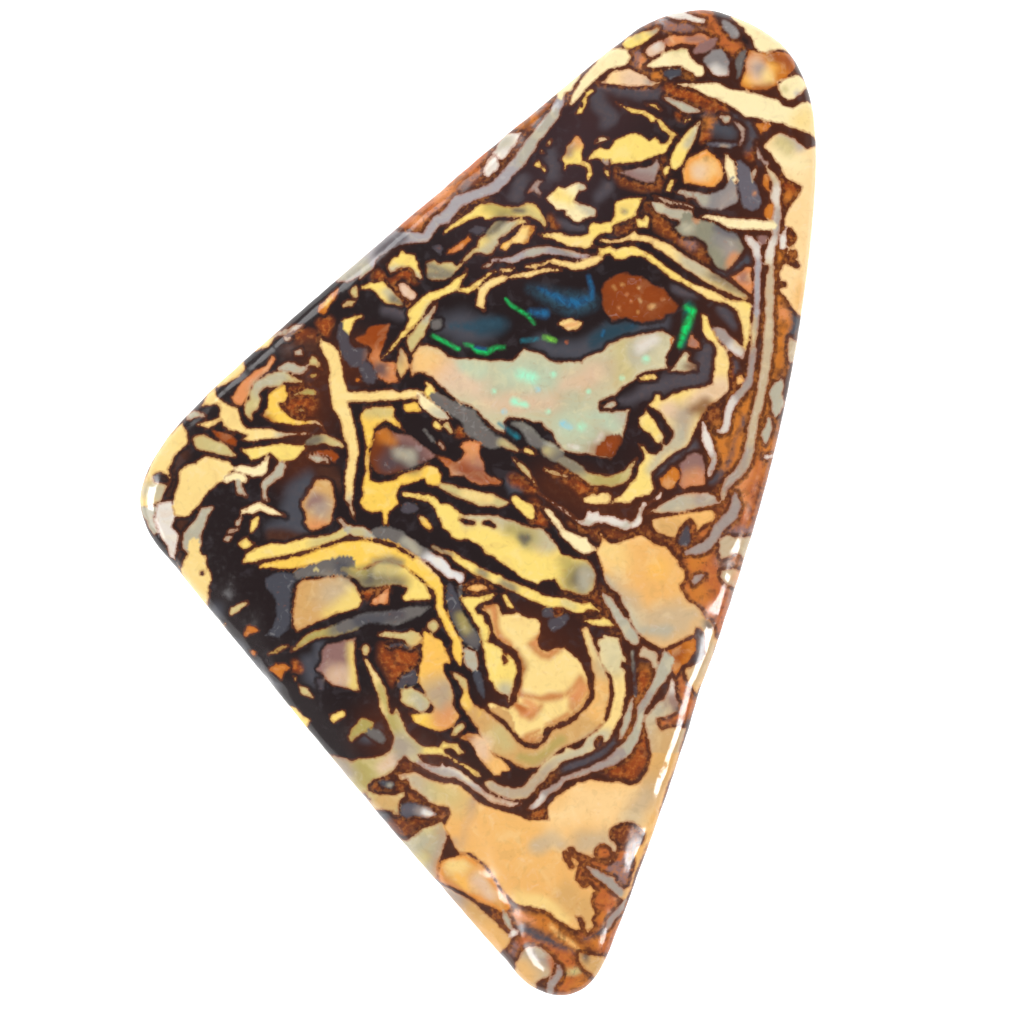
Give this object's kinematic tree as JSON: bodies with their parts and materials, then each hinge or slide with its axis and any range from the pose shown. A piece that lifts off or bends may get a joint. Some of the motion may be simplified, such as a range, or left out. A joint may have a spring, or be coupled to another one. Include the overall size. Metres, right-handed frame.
{
  "type": "boulder opal cabochon",
  "caption": "Polished freeform boulder opal: rounded triangular cabochon with a flat back, low domed face and rolled edges.",
  "frame": {"origin": "middle of the plan's box, on the flat back", "axes": "+Z out of the domed face, +Y along the plan's longer extent towards the broad end, +X towards the bowed side"},
  "size_m": [0.0408, 0.0594, 0.0056],
  "materials": {
    "polished_boulder_opal": "high polish over dark brown ironstone with cream, honey and grey opal seams"
  },
  "bodies": {
    "root": {"boulder_opal": "polished_boulder_opal"}
  },
  "joints": []
}
